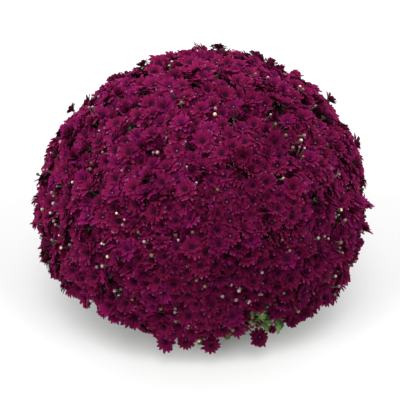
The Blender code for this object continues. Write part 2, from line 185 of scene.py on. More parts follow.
# The ragged hem: how far from the vertical the blooms reach, in degrees, at each azimuth.
HEM_AZIMUTHS = (
    *(-180, -165, -137, -128, -117, -105, -90, -80, -69, -60, -48, -36),
    *(-20, 0, 20, 40, 60, 85, 110, 135, 160, 180),
)
HEM_ANGLES = (
    *(113, 111, 109, 113, 116, 125, 128, 120, 118, 121, 121, 119),
    *(118, 115, 118, 121, 115, 123, 118, 113, 119, 113),
)
HEM_MEAN = 117.5
SPRAY_RINGS = (("crown", 1, 0.0, 0.0), ("upper", 5, 57.0, 20.0), ("lower", 7, 107.0, 0.0))
SPRAY_STRAY = 5.0
SPRAY_SEED = 20
DOME_COUNT = 44
DOME_SPACING = 0.125
DOME_SEED = 7
# How wide the shade of a furrow is, as an angle in radians.
FURROW_WIDTH = 0.16


def directions(angles, azimuths):
    """Unit vectors at angles from the vertical and azimuths round it, in degrees."""
    lean, turn = np.broadcast_arrays(np.radians(angles), np.radians(azimuths))
    return np.stack([np.sin(lean) * np.cos(turn), np.sin(lean) * np.sin(turn), np.cos(lean)], axis=-1)


def unit(vectors):
    return vectors / np.linalg.norm(vectors, axis=-1, keepdims=True)


def ball_points(ways, inset=0.0):
    """Points of the ball's surface in those directions from its middle, inset from the bloom faces."""
    scale = 1.0
    for angle, azimuth, width, share in SWELLS:
        apart = np.arccos(np.clip(ways @ directions(angle, azimuth), -1, 1))
        scale = scale + share * np.exp(-((apart / math.radians(width)) ** 2))
    wide = (BALL_HALF_WIDTH - inset) * scale
    high = (BALL_HALF_HEIGHT - inset) * scale
    reach = 1 / np.sqrt((ways[:, 0] ** 2 + ways[:, 1] ** 2) / wide**2 + ways[:, 2] ** 2 / high**2)
    return BALL_MIDDLE + ways * reach[:, None]


def hem_heights(ways, below=0.0):
    """The lowest height of a direction at each one's azimuth, or that many degrees below the hem."""
    azimuths = np.degrees(np.arctan2(ways[:, 1], ways[:, 0]))
    return np.cos(np.radians(np.interp(azimuths, HEM_AZIMUTHS, HEM_ANGLES) + below))


def ball_normals(ways):
    return unit(ways / np.array((BALL_HALF_WIDTH, BALL_HALF_WIDTH, BALL_HALF_HEIGHT)) ** 2)


def spread_out(count, spacing, rng, below=0.0, rounds=30):
    """Even but irregular directions down to the hem or some degrees below it, spacing apart on the ball."""
    place = np.arange(count)
    height = 1 - (place + 0.5) / count * (1 - math.cos(math.radians(HEM_MEAN + below)))
    turn = place * math.pi * (3 - math.sqrt(5)) + rng.uniform(-0.15, 0.15, count)
    flat = np.sqrt(1 - height**2)
    ways = np.stack([flat * np.cos(turn), flat * np.sin(turn), height], axis=1)
    for _ in range(rounds):
        points = ball_points(ways) + rng.normal(0, spacing * 0.03, (count, 3))
        apart = points[:, None] - points[None]
        far = np.linalg.norm(apart, axis=2) + np.eye(count)
        push = np.clip(spacing - far, 0, None) * 0.3 / far
        ways = unit(points + (apart * push[:, :, None]).sum(axis=1) - BALL_MIDDLE)
        ways[:, 2] = np.maximum(ways[:, 2], hem_heights(ways, below))
        ways = unit(ways)
    return ways


spray_rng = random.Random(SPRAY_SEED)
spray_names = []
spray_ways = []
for label, count, angle, start in SPRAY_RINGS:
    for k in range(count):
        stray = SPRAY_STRAY if count > 1 else 0.0
        lean = angle + spray_rng.uniform(-stray, stray)
        turn = start + 360.0 * k / count + spray_rng.uniform(-stray, stray)
        spray_ways.append(directions(lean, turn))
        spray_names.append(f"spray_{label}" + (f"_{k + 1}" if count > 1 else ""))
spray_ways = np.array(spray_ways)
dome_ways = spread_out(DOME_COUNT, DOME_SPACING, np.random.default_rng(DOME_SEED))


def dome_relief(ways):
    """How near each direction is to a furrow between domes, from 0 to 1, and the middle of its own dome."""
    gaps = np.arccos(np.clip(ways @ dome_ways.T, -1, 1))
    order = np.argsort(gaps, axis=1)
    nearest = np.take_along_axis(gaps, order[:, :2], axis=1)
    edge = np.clip(1 - (nearest[:, 1] - nearest[:, 0]) / FURROW_WIDTH, 0, 1)
    return edge**1.5, dome_ways[order[:, 0]]


# Pot: a plain injection-moulded nursery pot of 200 mm in black polypropylene, tapered, with a stepped rim and
# eight drainage holes in its flat base. The blooms nearly hide it.
POT_PROFILE = (
    (0.0, 0.0),
    (0.0700, 0.0),
    (0.0722, 0.0008),
    (0.0731, 0.0034),
    (0.0938, 0.1226),
    (0.0944, 0.1236),
    (0.0974, 0.1244),
    (0.0981, 0.1254),
    (0.0993, 0.1440),
    (0.1000, 0.1450),
    (0.1000, 0.1490),
    (0.0993, 0.1499),
    (0.0984, 0.1500),
    (0.0978, 0.1492),
    (0.0958, 0.1272),
    (0.0918, 0.1252),
    (0.0708, 0.0052),
    (0.0, 0.0052),
)
DRAIN_HOLES = 8
DRAIN_RADIUS = 0.006
DRAIN_CIRCLE = 0.050
POT_SIDES = 96
DRAIN_SIDES = 24


def turned_rings(rings, sides):
    """A surface turned round +Z through (radius, height) rings. A ring of radius 0 is a single point."""
    verts, faces, starts = [], [], []
    for radius, height in rings:
        starts.append(len(verts))
        turns = [math.tau * k / sides for k in range(sides if radius else 1)]
        verts += [(radius * math.cos(turn), radius * math.sin(turn), height) for turn in turns]
    for row in range(len(rings) - 1):
        for k in range(sides):
            after = (k + 1) % sides
            below = [starts[row] + (i if rings[row][0] else 0) for i in (k, after)]
            above = [starts[row + 1] + (i if rings[row + 1][0] else 0) for i in (after, k)]
            faces.append(tuple(dict.fromkeys(below + above)))
    return np.array(verts), faces


def joined(parts):
    """Several pieces as one: their points, their faces, and each further array that they hold, end to end."""
    starts = np.cumsum([0] + [len(part[0]) for part in parts[:-1]]).tolist()
    faces = [tuple(i + start for i in face) for part, start in zip(parts, starts) for face in part[1]]
    points, _, *others = zip(*parts)
    return np.concatenate(points), faces, *map(np.concatenate, others)


pot_plastic, tree, surface = new_material("black_moulded_polypropylene")
# Moulded from a fine sparked tool: a satin skin with a grain of 0.2 mm, scuffed and with dried splashes of
# compost. Here and below, a pattern's real size is the width of its piece's box over its scale.
grain = add_node(tree, "ShaderNodeTexNoise", values={"Scale": 900.0, "Detail": 2.0})
scuffs = add_node(tree, "ShaderNodeTexNoise", values={"Scale": 35.0, "Detail": 6.0, "Roughness": 0.7})
scuff_share = add_node(
    tree, "ShaderNodeValToRGB", links={"Fac": scuffs}, stops=((0.50, "#000000"), (0.72, "#8c8c8c"))
)
pot_colour = add_node(
    tree, "ShaderNodeMix", {"data_type": "RGBA"}, {6: srgb("#1f2120"), 7: srgb("#5a5145")}, {0: scuff_share}
)
pot_shine = add_node(
    tree, "ShaderNodeMapRange", values={"To Min": 0.36, "To Max": 0.62}, links={"Value": scuffs}
)
pot_bump = add_node(
    tree, "ShaderNodeBump", values={"Strength": 0.25, "Distance": 0.0003}, links={"Height": grain}
)
add_node(
    tree,
    "ShaderNodeBsdfPrincipled",
    values={"IOR": 1.49},
    links={"Base Color": pot_colour, "Roughness": pot_shine, "Normal": pot_bump},
    feeds=surface,
)

pot = build_mesh("moulded_pot", *turned_rings(POT_PROFILE, POT_SIDES), [pot_plastic])
rod_rings = ((0.0, -0.01), (DRAIN_RADIUS, -0.01), (DRAIN_RADIUS, 0.02), (0.0, 0.02))
rod, rod_faces = turned_rings(rod_rings, DRAIN_SIDES)
turns = [math.tau * (k + 0.5) / DRAIN_HOLES for k in range(DRAIN_HOLES)]
spots = [np.array((math.cos(turn), math.sin(turn), 0.0)) * DRAIN_CIRCLE for turn in turns]
cutter = build_mesh("drain_cutter", *joined([(rod + spot, rod_faces) for spot in spots]), [])
drill = pot.modifiers.new("drainage", "BOOLEAN")
drill.operation = "DIFFERENCE"
drill.object = cutter
bpy.context.view_layer.update()
pot.data = bpy.data.meshes.new_from_object(pot.evaluated_get(bpy.context.evaluated_depsgraph_get()))
pot.modifiers.clear()
pot.data.set_sharp_from_angle(angle=math.radians(40))
bpy.data.objects.remove(cutter)
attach(pot, "root")
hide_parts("pot")

# Compost: moist peat with bark fibre and white perlite, filled to 18 mm under the rim and settled.
COMPOST_SIDE = ((0.0, 0.0055), (0.0705, 0.0055), (0.0915, 0.1252))
COMPOST_EDGE = 0.0915
COMPOST_TOP = 0.132
COMPOST_DOME = 0.004
COMPOST_RINGS = 30
CRUMBS_ABOVE = 0.1275
CRUMB_HEIGHT = 0.0009
COLLAR_RADIUS = 0.013
COLLAR_FOOT = 0.102
CRUMB_SEED = 8

peat, tree, surface = new_material("peat_with_perlite")
# Fine crumbs of 0.7 mm, near black where wet, and pale specks of perlite about 1.7 mm apart.
crumbs = add_node(tree, "ShaderNodeTexNoise", values={"Scale": 260.0, "Detail": 8.0, "Roughness": 0.75})
peat_colour = add_node(
    tree, "ShaderNodeValToRGB", links={"Fac": crumbs}, stops=((0.35, "#1c120b"), (0.70, "#533c28"))
)
grains = add_node(tree, "ShaderNodeTexVoronoi", values={"Scale": 110.0})
grain_share = add_node(
    tree, "ShaderNodeValToRGB", links={"Fac": grains}, stops=((0.14, "#ffffff"), (0.18, "#000000"))
)
peat_mix = add_node(
    tree, "ShaderNodeMix", {"data_type": "RGBA"}, {7: srgb("#c9c4b6")}, {0: grain_share, 6: peat_colour}
)
peat_bump = add_node(
    tree, "ShaderNodeBump", values={"Strength": 1.0, "Distance": 0.002}, links={"Height": crumbs}
)
add_node(
    tree,
    "ShaderNodeBsdfPrincipled",
    values={"Roughness": 0.95, "Specular IOR Level": 0.2},
    links={"Base Color": peat_mix, "Normal": peat_bump},
    feeds=surface,
)

crumb_rng = np.random.default_rng(CRUMB_SEED)
radii = np.linspace(COMPOST_EDGE, COLLAR_RADIUS, COMPOST_RINGS)
top = [(float(r), COMPOST_TOP - COMPOST_DOME * (r / COMPOST_EDGE) ** 2) for r in radii]
foot = ((COLLAR_RADIUS, COLLAR_FOOT), (0.0, COLLAR_FOOT))
verts, faces = turned_rings((*COMPOST_SIDE, *top, *foot), POT_SIDES)
loose = (verts[:, 2] > CRUMBS_ABOVE) & (np.hypot(verts[:, 0], verts[:, 1]) < COMPOST_EDGE - 0.001)
verts[loose, 2] += crumb_rng.normal(0, CRUMB_HEIGHT, loose.sum())
compost = build_mesh("settled_compost", verts, faces, [peat])
compost.data.set_sharp_from_angle(angle=math.radians(60))
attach(compost, "root")
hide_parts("compost")

# Woody branches: thirteen brown stems that fan out of one root collar, each to the back of its spray, where
# it divides into side branches, one for each dome of blooms.
COLLAR_RADII = (0.0, 0.0126, 0.0127, 0.0112, 0.0104, 0.0)
COLLAR_HEIGHTS = (0.102, 0.102, 0.128, 0.136, 0.146, 0.149)
COLLAR_SIDES = 20
BRANCH_START = np.array((0.0, 0.0, 0.140))
BRANCH_RADII = (0.0050, 0.0048, 0.0046, 0.0043, 0.0040, 0.0037, 0.0034, 0.0031, 0.0029, 0.0026, 0.0022)
BRANCH_RISE = 0.030
BRANCH_STRAY = 0.006
BRANCH_SIDES = 10
BRANCH_SEED = 22
SPRAY_BACK = 0.150
SIDE_RADII = (0.0021, 0.0020, 0.0018, 0.0017)
SIDE_INSET = 0.080
SIDE_SWAY = 0.003
SIDE_SIDES = 6
FORK_BACK = 0.012
UP = np.array((0.0, 0.0, 1.0))
# The hollow in the leaves where the branches run: heights, and its radius at each.
HOLLOW_HEIGHTS = (0.060, 0.124, 0.180, 0.250, 0.295, 0.312)
HOLLOW_RADII = (0.088, 0.107, 0.120, 0.108, 0.068, 0.0)


def tube_rings(paths, radii, sides):
    """Open tubes through (copies, stations, 3) paths: the points of all of them, and their faces."""
    count, stations, _ = paths.shape
    ways = unit(np.gradient(paths, axis=1))
    side = unit(np.cross(ways, np.array((0.31, 0.22, 0.92))))
    up = np.cross(ways, side)
    turns = np.arange(sides) * math.tau / sides
    rings = side[:, :, None] * np.cos(turns)[:, None] + up[:, :, None] * np.sin(turns)[:, None]
    verts = paths[:, :, None] + rings * np.asarray(radii)[None, :, None, None]
    faces = []
    for k in range(count):
        for i in range(stations - 1):
            row = (k * stations + i) * sides
            for j in range(sides):
                after = (j + 1) % sides
                faces.append((row + j, row + after, row + sides + after, row + sides + j))
    return verts.reshape(-1, 3), faces


stem_bark, tree, surface = new_material("young_stem_bark")
# Two-season wood: grey-brown skin in flakes of 1 mm with green showing in the cracks.
flakes = add_node(tree, "ShaderNodeTexNoise", values={"Scale": 330.0, "Detail": 6.0, "Roughness": 0.7})
bark_colour = add_node(
    tree,
    "ShaderNodeValToRGB",
    links={"Fac": flakes},
    stops=((0.34, "#4d5230"), (0.46, "#5a4630"), (0.70, "#8a7453")),
)
bark_bump = add_node(
    tree, "ShaderNodeBump", values={"Strength": 0.7, "Distance": 0.0008}, links={"Height": flakes}
)
add_node(
    tree,
    "ShaderNodeBsdfPrincipled",
    values={"Roughness": 0.85, "IOR": 1.45},
    links={"Base Color": bark_colour, "Normal": bark_bump},
    feeds=surface,
)

branch_rng = random.Random(BRANCH_SEED)
branch_paths = []
for way in spray_ways:
    reach = np.linspace(0.05, SPRAY_BACK, 400)
    line = BALL_MIDDLE + way * reach[:, None]
    wall = np.interp(line[:, 2], HOLLOW_HEIGHTS, HOLLOW_RADII)
    hit = float(reach[np.argmax(np.hypot(line[:, 0], line[:, 1]) >= wall)])
    end = BALL_MIDDLE + way * hit
    sway = directions(90.0, branch_rng.uniform(0, 360)) * BRANCH_STRAY
    bend = (BRANCH_START + end) / 2 + UP * BRANCH_RISE + sway
    t = np.linspace(0, 1, 9)[:, None]
    curve = BRANCH_START * (1 - t) ** 2 + bend * 2 * t * (1 - t) + end * t**2
    last = [end + way * (SPRAY_BACK - hit) * 0.5, BALL_MIDDLE + way * SPRAY_BACK]
    branch_paths.append(np.concatenate([curve, last]))
dome_roots = ball_points(dome_ways, SIDE_INSET)
dome_sprays = np.argmax(dome_ways @ spray_ways.T, axis=1)
forks = BALL_MIDDLE + spray_ways[dome_sprays] * (SPRAY_BACK - FORK_BACK)
shares = np.linspace(0, 1, 4)[None, :, None]
side_paths = forks[:, None] * (1 - shares) + dome_roots[:, None] * shares
side_paths[:, 1:3] += directions(90.0, np.linspace(0, 3600, DOME_COUNT))[:, None] * SIDE_SWAY
collar = turned_rings(list(zip(COLLAR_RADII, COLLAR_HEIGHTS)), COLLAR_SIDES)
main_tubes = tube_rings(np.array(branch_paths), BRANCH_RADII, BRANCH_SIDES)
side_tubes = tube_rings(side_paths, SIDE_RADII, SIDE_SIDES)
branches = build_mesh("branches_and_collar", *joined([collar, main_tubes, side_tubes]), [stem_bark])
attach(branches, "root")
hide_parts("woody_branches")

# Leafy heart: the close mass of shaded leaves and stems inside the ball. It hides the branches and the pot,
# and is hollow where they stand.
HEART_INSET = 0.044
HEART_BELOW_HEM = 3.0
HEART_FOOT = (0.124, 0.064)
HEART_BUMP = 0.004
HEART_SIDES = 96
HEART_ROWS = 40

leaf_shade, tree, surface = new_material("shaded_leaf_mass")
# Old leaves packed edge to edge, in patches 8 mm across, and matt. Their near-black colour, darkest where
# the patches meet, is painted shade of the blooms over them.
patches = add_node(tree, "ShaderNodeTexVoronoi", values={"Scale": 55.0})
leaf_shade_colour = add_node(
    tree, "ShaderNodeValToRGB", links={"Fac": patches}, stops=((0.0, "#1b2a14"), (0.8, "#070b06"))
)
patch_bump = add_node(
    tree, "ShaderNodeBump", {"invert": True}, {"Strength": 1.0, "Distance": 0.006}, {"Height": patches}
)
add_node(
    tree,
    "ShaderNodeBsdfPrincipled",
    values={"Roughness": 0.8, "IOR": 1.45},
    links={"Base Color": leaf_shade_colour, "Normal": patch_bump},
    feeds=surface,
)

turns = np.arange(HEART_SIDES) * math.tau / HEART_SIDES
lowest_leans = np.arccos(hem_heights(directions(90.0, np.degrees(turns)), HEART_BELOW_HEM))
leans = np.linspace(0, 1, HEART_ROWS)[1:, None] * lowest_leans
grid_lean, grid_turn = leans.ravel(), np.tile(turns, HEART_ROWS - 1)
grid_ways = directions(np.degrees(grid_lean), np.degrees(grid_turn))
bumps = HEART_BUMP * np.sin(19 * grid_turn + 5 * grid_lean) * np.sin(17 * grid_lean)
outer = ball_points(grid_ways, HEART_INSET + bumps)
verts = [*ball_points(UP[None], HEART_INSET).tolist(), *outer.tolist()]
faces = [(0, 1 + k, 1 + (k + 1) % HEART_SIDES) for k in range(HEART_SIDES)]
inner_profile = (HEART_FOOT, *zip(HOLLOW_RADII[:-1], (HEART_FOOT[1] + 0.002, *HOLLOW_HEIGHTS[1:-1])))
for radius, height in inner_profile:
    verts += [(radius * math.cos(a), radius * math.sin(a), height) for a in turns]
rows = HEART_ROWS - 1 + len(inner_profile)
for row in range(rows - 1):
    for k in range(HEART_SIDES):
        a, b = 1 + row * HEART_SIDES + k, 1 + row * HEART_SIDES + (k + 1) % HEART_SIDES
        faces.append((a, a + HEART_SIDES, b + HEART_SIDES, b))
verts.append((0.0, 0.0, HOLLOW_HEIGHTS[-1] + 0.001))
last = 1 + (rows - 1) * HEART_SIDES
faces += [(last + k, len(verts) - 1, last + (k + 1) % HEART_SIDES) for k in range(HEART_SIDES)]
heart = build_mesh("leafy_heart", verts, faces, [leaf_shade])
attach(heart, "root")
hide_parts("leaf_canopy")

# Leaves: lobed, toothed blades 30 to 45 mm long, dull green above and greyer below, with a folded rib. Each
# grows from the stems under the blooms. They fill the dark gaps, and show at the lower rim.
LEAF_COUNT = 760
SKIRT_COUNT = 170
LEAF_SPACING = 0.032
LEAF_INSETS = (0.050, 0.062)
LEAF_LENGTH = 0.042
LEAF_HALF_WIDTH = 0.34
LEAF_THICKNESS = 0.0006
LEAF_KINDS = 6
LEAF_ROLL = 0.35
# The inner leaves' tones make them near black, as painted shade deep inside the ball.
PAINTED_SHADE_TONES = (-1.0, -0.9)
SKIRT_TONES = (-0.30, 0.60)
LEAF_SEED = 3
LEAF_STATIONS = np.array((0.0, 0.12, 0.25, 0.34, 0.48, 0.57, 0.70, 0.78, 0.90, 1.0))
LEAF_OUTLINE = np.array((0.05, 0.10, 0.62, 0.36, 1.0, 0.58, 0.86, 0.50, 0.42, 0.03))
LEAF_RAKE = np.array((0.0, 0.0, 0.05, -0.02, 0.09, -0.01, 0.08, 0.0, 0.03, 0.0))

leaf_green, tree, surface = new_material("downy_green_leaf")
# Leaf blades: matt, with a net of paler veins 2 mm apart that also dents them, and a paler rib and reverse.
cells = add_node(tree, "ShaderNodeTexVoronoi", {"feature": "DISTANCE_TO_EDGE"}, {"Scale": 240.0})
vein_colour = add_node(
    tree,
    "ShaderNodeValToRGB",
    links={"Fac": cells},
    stops=((0.0, "#6f8a4c"), (0.12, "#426b2c"), (1.0, "#365f25")),
)
rib = add_node(
    tree, "ShaderNodeValToRGB", links={"Fac": "across"}, stops=((0.0, "#ffffff"), (0.10, "#000000"))
)
rib_mix = add_node(
    tree, "ShaderNodeMix", {"data_type": "RGBA"}, {7: srgb("#8aa862")}, {0: rib, 6: vein_colour}
)
reverse_mix = add_node(
    tree, "ShaderNodeMix", {"data_type": "RGBA"}, {7: srgb("#7c8f68")}, {0: "reverse", 6: rib_mix}
)
# The tone sets the value: near black for the inner leaves, which is painted shade, and a random lighter or
# darker green for the skirt leaves.
leaf_value = add_node(
    tree,
    "ShaderNodeMapRange",
    values={"From Min": -1.0, "From Max": 1.0, "To Min": 0.04, "To Max": 1.60},
    links={"Value": "tone"},
)
leaf_tint = add_node(tree, "ShaderNodeHueSaturation", links={"Color": reverse_mix, "Value": leaf_value})
leaf_bump = add_node(
    tree, "ShaderNodeBump", values={"Strength": 0.4, "Distance": 0.0006}, links={"Height": cells}
)
add_node(
    tree,
    "ShaderNodeBsdfPrincipled",
    values={"Roughness": 0.6, "IOR": 1.45, "Specular IOR Level": 0.25},
    links={"Base Color": leaf_tint, "Normal": leaf_bump},
    feeds=surface,
)


def leaf_blade(rng):
    """One leaf along +X, face up: points, faces, how far out from the rib and which side each point is on."""
    stations = len(LEAF_STATIONS)
    outline = LEAF_OUTLINE * rng.uniform(0.85, 1.12, stations)
    half = LEAF_LENGTH * LEAF_HALF_WIDTH * outline
    sheet = np.zeros((stations, 3, 3))
    sheet[:, :, 0] = LEAF_STATIONS[:, None] * LEAF_LENGTH
    sheet[:, (0, 2), 0] += (LEAF_RAKE * LEAF_LENGTH)[:, None]
    sheet[:, 0, 1], sheet[:, 2, 1] = -half, half
    droop = rng.uniform(0.1, 0.5)
    sheet[:, :, 2] = -droop * LEAF_LENGTH * (LEAF_STATIONS[:, None] ** 2) * 0.6
    sheet[:, (0, 2), 2] += half[:, None] * rng.uniform(0.15, 0.5)
    sheet[:, (0, 2), 2] += rng.normal(0, 0.0008, (stations, 2))
    under = sheet - UP * LEAF_THICKNESS
    faces = []
    count = 3 * stations
    for a in (i * 3 + j for i in range(stations - 1) for j in (0, 1)):
        b = a + count
        faces += [(a, a + 3, a + 4, a + 1), (b, b + 1, b + 4, b + 3)]
    verts = np.concatenate([sheet.reshape(-1, 3), under.reshape(-1, 3)])
    across = np.tile((1.0, 0.0, 1.0), stations * 2)
    return verts, faces, across, np.repeat((0.0, 1.0), count)


def leaf_frames(headings, ups, rolls):
    """A rotation for each leaf that lays +X along its heading and its face towards up, then rolls it."""
    across = unit(np.cross(ups, headings))
    top = np.cross(headings, across)
    cosine, sine = np.cos(rolls)[:, None], np.sin(rolls)[:, None]
    return np.stack([headings, across * cosine + top * sine, top * cosine - across * sine], axis=2)


def add_leaves(name, roots, headings, ups, sizes, shades, rng):
    """A piece of leaves, each on its root, along its heading and in a tone between the two shades."""
    blades = [leaf_blade(rng) for _ in range(LEAF_KINDS)]
    turned = leaf_frames(headings, ups, rng.normal(0, LEAF_ROLL, len(roots)))
    parts = []
    for k, root in enumerate(roots):
        points, polygons, out, side = blades[rng.integers(len(blades))]
        tones = np.full(len(points), rng.uniform(*shades))
        parts.append((points @ turned[k].T * sizes[k] + root, polygons, out, side, tones))
    verts, faces, *values = joined(parts)
    made = build_mesh(name, verts, faces, [leaf_green], None, zip(("across", "reverse", "tone"), values))
    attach(made, "root")


def spots_at(table):
    """Points from rows of azimuth, distance from the pot's axis and height."""
    return directions(90.0, table[:, 0]) * table[:, 1:2] + UP * table[:, 2:3]


leaf_rng = np.random.default_rng(LEAF_SEED)
leaf_ways = spread_out(LEAF_COUNT, LEAF_SPACING, leaf_rng, below=1.0)
leaf_roots = ball_points(leaf_ways, leaf_rng.uniform(*LEAF_INSETS, LEAF_COUNT))
outward = ball_normals(leaf_ways)
leaf_headings = unit(outward + unit(np.cross(outward, leaf_rng.normal(0, 1, outward.shape))) * 1.2)
leaf_sizes = leaf_rng.uniform(0.8, 1.05, LEAF_COUNT)
add_leaves("inner_leaves", leaf_roots, leaf_headings, outward, leaf_sizes, PAINTED_SHADE_TONES, leaf_rng)

# The skirt leaves spring from the underside between the pot and the hem, and droop past the lowest blooms.
# In front on the right, where the hem is thin, some stand out between the blooms: azimuth, radius and height
# of each one's tip.
RIM_LEAVES = (
    (-68.0, 0.215, 0.094),
    (-63.3, 0.210, 0.078),
    (-67.1, 0.224, 0.109),
    (-57.4, 0.212, 0.072),
    (-70.9, 0.226, 0.111),
    (-62.5, 0.216, 0.092),
    (-84.0, 0.200, 0.077),
    (-81.7, 0.206, 0.087),
    (-90.7, 0.190, 0.060),
    (-73.3, 0.196, 0.075),
    (-71.7, 0.206, 0.086),
    (-107.7, 0.200, 0.076),
)
RIM_ROOM = 0.015
SKIRT_RADIUS = 0.100
SKIRT_SPREAD = 0.066
SKIRT_HEIGHT = 0.066
SKIRT_RISE = 0.030
azimuths = np.arange(SKIRT_COUNT) * 360.0 / SKIRT_COUNT + leaf_rng.normal(0, 4, SKIRT_COUNT)
out_share = leaf_rng.uniform(0, 1, SKIRT_COUNT) ** 0.7
skirt_out = directions(90.0, azimuths)
skirt_roots = skirt_out * (SKIRT_RADIUS + SKIRT_SPREAD * out_share)[:, None]
skirt_roots[:, 2] = SKIRT_HEIGHT + SKIRT_RISE * out_share**2
droops = leaf_rng.uniform(2, 42, SKIRT_COUNT)
skirt_ways = directions(90.0 + droops, azimuths + leaf_rng.normal(0, 16, SKIRT_COUNT))
rim = np.array(RIM_LEAVES)
rim_out = directions(90.0, rim[:, 0])
rim_ways = directions(90.0 + leaf_rng.uniform(15, 65, len(rim)), rim[:, 0] + leaf_rng.normal(0, 30, len(rim)))
rim_tips = spots_at(rim)
rim_roots = rim_tips - rim_ways * LEAF_LENGTH * 0.4
skirt_sizes = leaf_rng.uniform(0.75, 1.1, SKIRT_COUNT)
skirt_sizes = np.concatenate([skirt_sizes, leaf_rng.uniform(0.42, 0.58, len(rim))])
skirt_roots = np.concatenate([skirt_roots, rim_roots])
skirt_ways = np.concatenate([skirt_ways, rim_ways])
skirt_ups = unit(UP + np.concatenate([skirt_out * 0.4, rim_out * 1.4]))
add_leaves("skirt_leaves", skirt_roots, skirt_ways, skirt_ups, skirt_sizes, SKIRT_TONES, leaf_rng)

# Blooms: semi-double daisies about 29 mm across. Two rows of broad, blunt petals lie round a dark eye of
# disc florets, on a green cup of bracts. The petals are thin and velvety: crimson, purple at the eye, paler
# on the rim.
BLOOM_COUNT = 1400
BLOOM_SPACING = 0.0232
BLOOM_RADIUS = 0.0160
# How deep a bloom sits: at least, most often and at most.
BLOOM_INSETS = (0.0, 0.007, 0.017)
BLOOM_WOBBLE = 0.34
FURROW_DEPTH = 0.010
DEEP_COUNT = 640
DEEP_SPACING = 0.0125
DEEP_INSETS = (0.011, 0.023)
# How far each kind of bloom is cupped, from flat to half closed, and its share of the blooms.
KIND_CUPPING = (0.0, 0.06, 0.12, 0.12, 0.2, 0.25, 0.3, 0.42, 0.65, 1.0)
KIND_SHARES = (0.14, 0.14, 0.14, 0.13, 0.12, 0.11, 0.09, 0.06, 0.04, 0.03)
YOUNG_CUPPING = (0.1, 0.3, 0.5, 0.7)
VIOLET_SHARE = 0.02
TUFT_SHARE = 0.35
PETAL_STATIONS = np.array((0.0, 0.3, 0.6, 0.85, 1.0))
PETAL_OUTLINE = np.array((0.35, 0.80, 1.0, 0.96, 0.68))
PETAL_THICKNESS = 0.0004
TIP_TAPER = 1.6
UPTURN = (0.10, 0.95)
GAP_TRIES = 9000
BLOOM_SEED = 11


def petal_sheets(length, half_width, start, rise, curl, tip, channel, both):
    """One petal along +X: its upper sheet of four rows, and a plain lower one, each three points wide."""
    share = np.linspace(0, 1, 4) ** 0.85
    outline = np.interp(share, PETAL_STATIONS, PETAL_OUTLINE)
    outline[-1] -= TIP_TAPER * tip / BLOOM_RADIUS
    pitch = rise + curl * share
    steps = np.diff(share, prepend=0.0) * length
    half = half_width * outline
    sheet = np.zeros((4, 3, 3))
    sheet[:, :, 0] = (start + np.cumsum(steps * np.cos(pitch)))[:, None]
    sheet[:, 0, 1], sheet[:, 2, 1] = -half, half
    sheet[:, :, 2] = np.cumsum(steps * np.sin(pitch))[:, None]
    sheet[:, (0, 2), 2] += (channel * half)[:, None]
    sheet[-1, 1, 0] += tip
    under = sheet[::3] - UP * (PETAL_THICKNESS + max(curl, 0.0) * length / 8)
    parts = []
    for grid, shares, side in ((sheet, share, 0.0), (under, share[::3], 1.0))[: 2 if both else 1]:
        corners = [(a, a + 3, a + 4, a + 1) for i in range(len(grid) - 1) for a in (i * 3, i * 3 + 1)]
        faces = [face[::-1] for face in corners] if side else corners
        parts.append((grid.reshape(-1, 3), faces, np.repeat(shares, 3), np.full(grid.size // 3, side)))
    return joined(parts)


def bloom_kind(rng, cupping, young=False):
    """One bloom facing +Z: points, faces and their materials, then reach, reverse, tone and violet by point.

    A young one has only its outer row of petals so far.
    """
    parts = []

    def take(points, polygons, material, far, back=0.0, shade=0.0, tint=0.0):
        values = [np.broadcast_to(given, len(points)) for given in (far, back, shade, tint)]
        parts.append((points, polygons, np.full(len(polygons), material), *values))

    rows = (
        (int(rng.integers(15, 19)), 0.90, 0.195, 0.10, 0.08 + 1.05 * cupping, -0.24, 0.0, True),
        (int(rng.integers(10, 13)), 0.60, 0.175, 0.09, 0.50 + 0.80 * cupping, -0.20, 0.0008, False),
    )
    for count, length, width, start, rise, curl, lift, both in rows[: 1 if young else 2]:
        for k in range(count):
            turn = math.tau * (k + rng.uniform(-0.18, 0.18)) / count
            size = rng.uniform(0.86, 1.10)
            points, polygons, near, back = petal_sheets(
                BLOOM_RADIUS * length * size,
                BLOOM_RADIUS * width * rng.uniform(0.86, 1.10),
                BLOOM_RADIUS * start,
                rise + rng.uniform(-0.18, 0.25) + (0.09 if k % 2 else 0.0),
                curl + rng.uniform(-0.32, 0.26),
                BLOOM_RADIUS * rng.choice((0.12, 0.09, 0.04, -0.05)),
                rng.uniform(0.08, 0.32),
                both and not young,
            )
            points[:, 2] += points[:, 1] * rng.uniform(-0.18, 0.18)
            radial = np.hypot(points[:, 0], points[:, 1]) / BLOOM_RADIUS
            far = 0.5 * radial + 0.5 * (start + length * near) + max(0.0, 1.0 - start - length) * near**3
            cosine, sine = math.cos(turn), math.sin(turn)
            points = points @ np.array(((cosine, sine, 0), (-sine, cosine, 0), (0, 0, 1)))
            points[:, 2] += lift
            tint = 1.0 if rng.uniform() < VIOLET_SHARE else rng.uniform(0.0, 0.2)
            take(points, polygons, 0, far, back, rng.uniform(-0.15, 0.15), tint * near)
    eye_rings = ((0.25, 0.0), (0.20, 0.0014), (0.06, 0.0024), (0.0, 0.0028))
    eye, eye_faces = turned_rings([(share * BLOOM_RADIUS, height) for share, height in eye_rings], 7)
    no_tuft = 0.0 if rng.uniform() < TUFT_SHARE else 0.1
    take(eye, eye_faces, 1, np.hypot(eye[:, 0], eye[:, 1]) / BLOOM_RADIUS + no_tuft)
    cup_rings = ((0.25, -0.0002), (0.17, -0.0032), (0.0, -0.0042))
    cup, cup_faces = turned_rings([(share * BLOOM_RADIUS, height) for share, height in cup_rings], 6)
    take(cup, [polygon[::-1] for polygon in cup_faces], 2, 0.0)
    return joined(parts)


def rooms_at(spots, taken):
    """How far each spot is from the nearest of the taken ones."""
    parts = np.array_split(spots, 16)
    return np.concatenate([np.linalg.norm(part[:, None] - taken, axis=2).min(axis=1) for part in parts])


